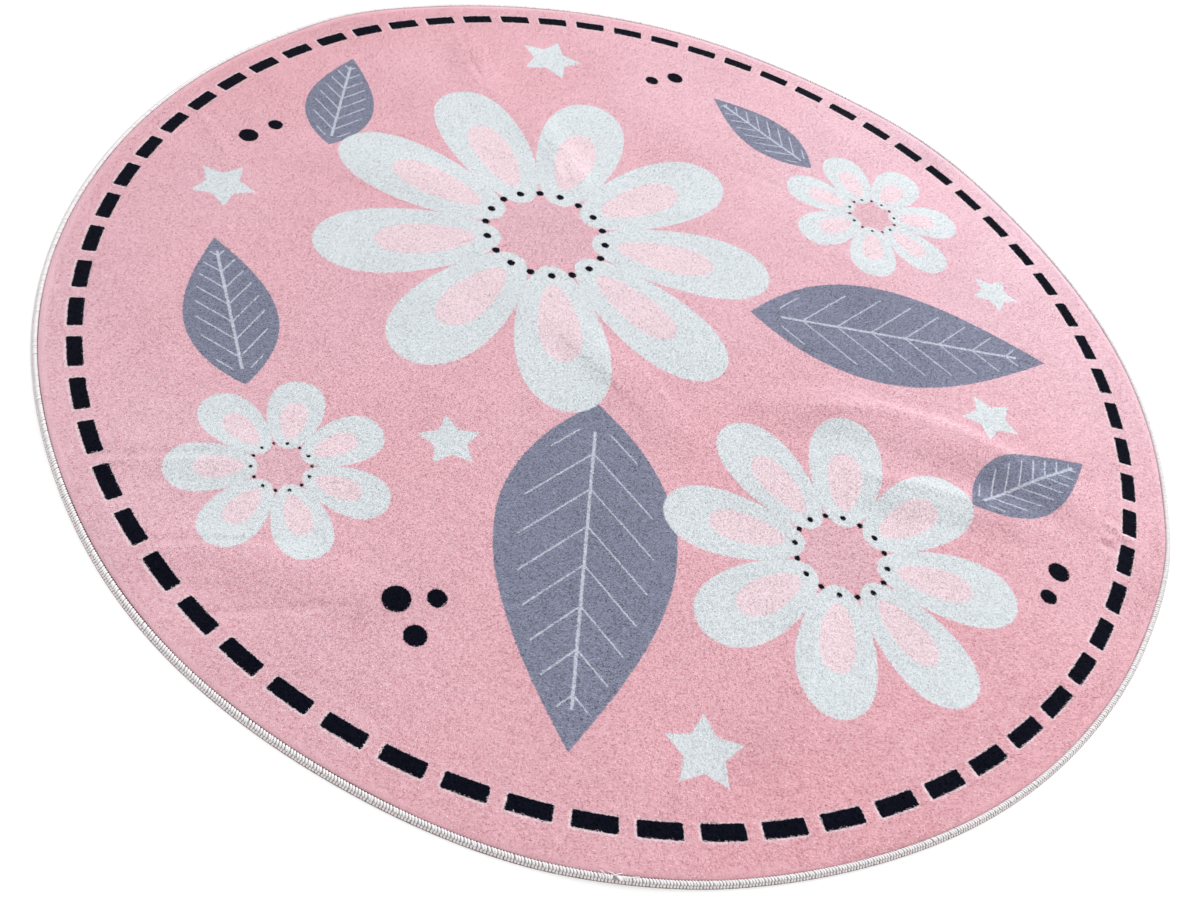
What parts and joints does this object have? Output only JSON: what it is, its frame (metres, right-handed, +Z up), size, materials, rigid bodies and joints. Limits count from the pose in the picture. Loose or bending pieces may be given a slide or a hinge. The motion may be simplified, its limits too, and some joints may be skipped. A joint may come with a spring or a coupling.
{
  "type": "round kids rug",
  "caption": "Round short-pile plush rug for a child's room, with a dashed border, flower pattern and overlocked white edge.",
  "frame": {"origin": "centre of the underside, on the floor", "axes": "+Z up through the pile; -Y is the edge nearest the viewer, +X to the viewer's right"},
  "size_m": [1.1998, 1.1994, 0.0114],
  "materials": {
    "pile": "short soft printed pile",
    "yarn": "white overlock stitching"
  },
  "bodies": {
    "root": {"rug_cloth": "pile", "edge_binding": "yarn"}
  },
  "joints": []
}
